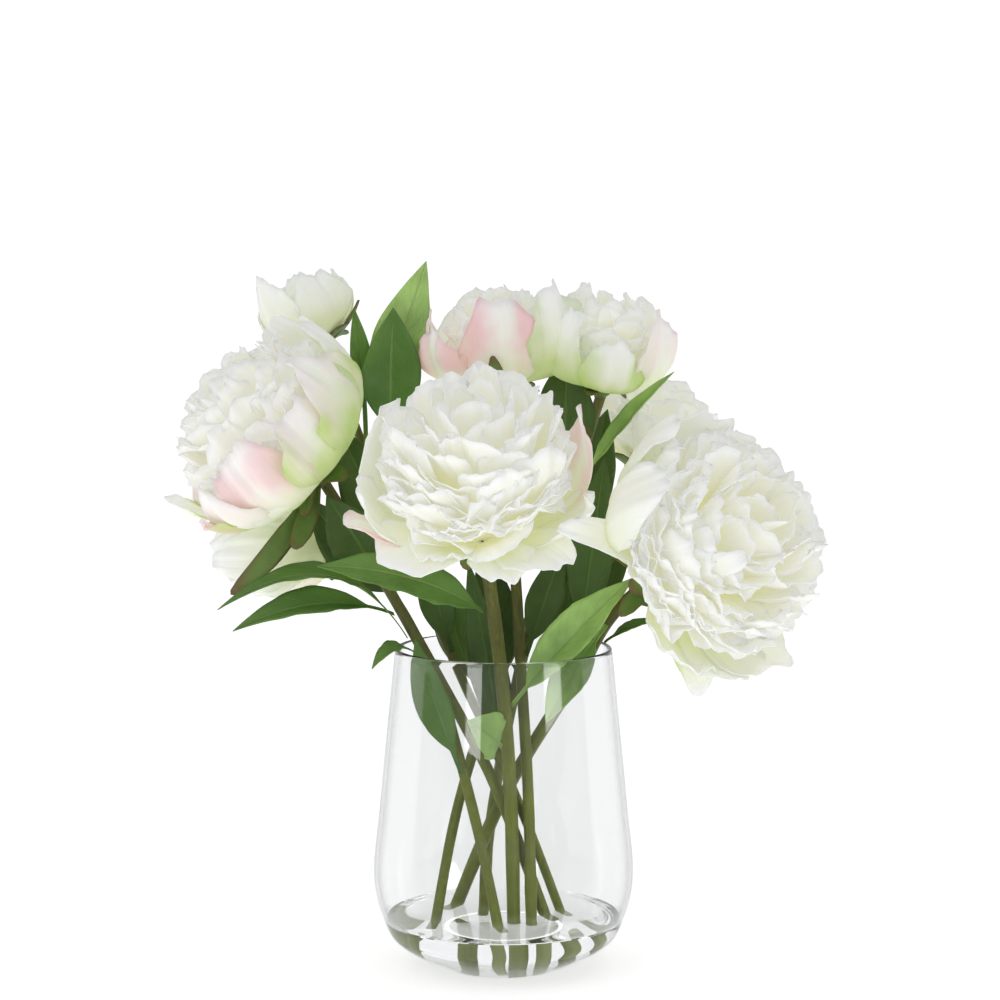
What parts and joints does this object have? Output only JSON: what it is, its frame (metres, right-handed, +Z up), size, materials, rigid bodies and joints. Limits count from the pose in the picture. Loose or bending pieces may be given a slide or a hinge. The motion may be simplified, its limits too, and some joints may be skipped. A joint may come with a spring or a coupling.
{
  "type": "peonies in a vase",
  "caption": "Bouquet of cream peony blooms, buds and green leaves on cut stems, set in a round-shouldered clear glass vase that stands on its foot.",
  "frame": {"origin": "centre of the vase's foot, on the surface that it stands on", "axes": "+Z up, the front of the bouquet looks along -Y, and the large forward-leaning bloom is on the +X side"},
  "size_m": [0.3473, 0.2385, 0.3972],
  "materials": {
    "glass": "clear polished",
    "resin": "clear cast resin, glossy surface",
    "stem": "satin, ribbed",
    "leaf": "satin with fine veins",
    "sepal": "satin",
    "petal": "matt, finely veined",
    "blush": "matt, finely veined"
  },
  "bodies": {
    "root": {"behind_left_leaf": "leaf", "between_leaf": "leaf", "centre_calyx": "sepal", "centre_inner_petals": "petal", "centre_outer_petal_1": "petal", "centre_outer_petal_2": "blush", "centre_outer_petal_3": "petal", "centre_outer_petal_4": "blush", "centre_outer_petal_5": "petal", "centre_stem": "stem", "dark_left_leaf": "leaf", "glass_vase": "glass", "hang_left_leaf": "leaf", "inner_dark_leaf": "leaf", "inner_front_leaf": "leaf", "inner_left_leaf": "leaf", "left_broad_leaf": "leaf", "left_calyx": "sepal", "left_inner_petals": "petal", "left_long_leaf": "leaf", "left_low_leaf": "leaf", "left_outer_petal_1": "petal", "left_outer_petal_2": "blush", "left_outer_petal_3": "petal", "left_outer_petal_4": "blush", "left_outer_petal_5": "petal", "left_stem": "stem", "lower_left_calyx": "sepal", "lower_left_inner_petals": "petal", "lower_left_stem": "stem", "resin_fill": "resin", "right_back_calyx": "sepal", "right_back_inner_petals": "petal", "right_back_leaf": "leaf", "right_back_stem": "stem", "right_calyx": "sepal", "right_dark_leaf": "leaf", "right_inner_leaf": "leaf", "right_inner_petals": "petal", "right_outer_petal_1": "petal", "right_outer_petal_2": "blush", "right_outer_petal_3": "petal", "right_outer_petal_4": "blush", "right_outer_petal_5": "petal", "right_small_leaf": "leaf", "right_stem": "stem", "right_upper_leaf": "leaf", "rim_left_leaf": "leaf", "top_dark_leaf": "leaf", "top_left_calyx": "sepal", "top_left_inner_petals": "petal", "top_left_stem": "stem", "top_light_leaf": "leaf", "top_middle_calyx": "sepal", "top_middle_inner_petals": "petal", "top_middle_stem": "stem", "top_right_calyx": "sepal", "top_right_inner_petals": "petal", "top_right_stem": "stem", "top_small_leaf": "leaf"}
  },
  "joints": []
}
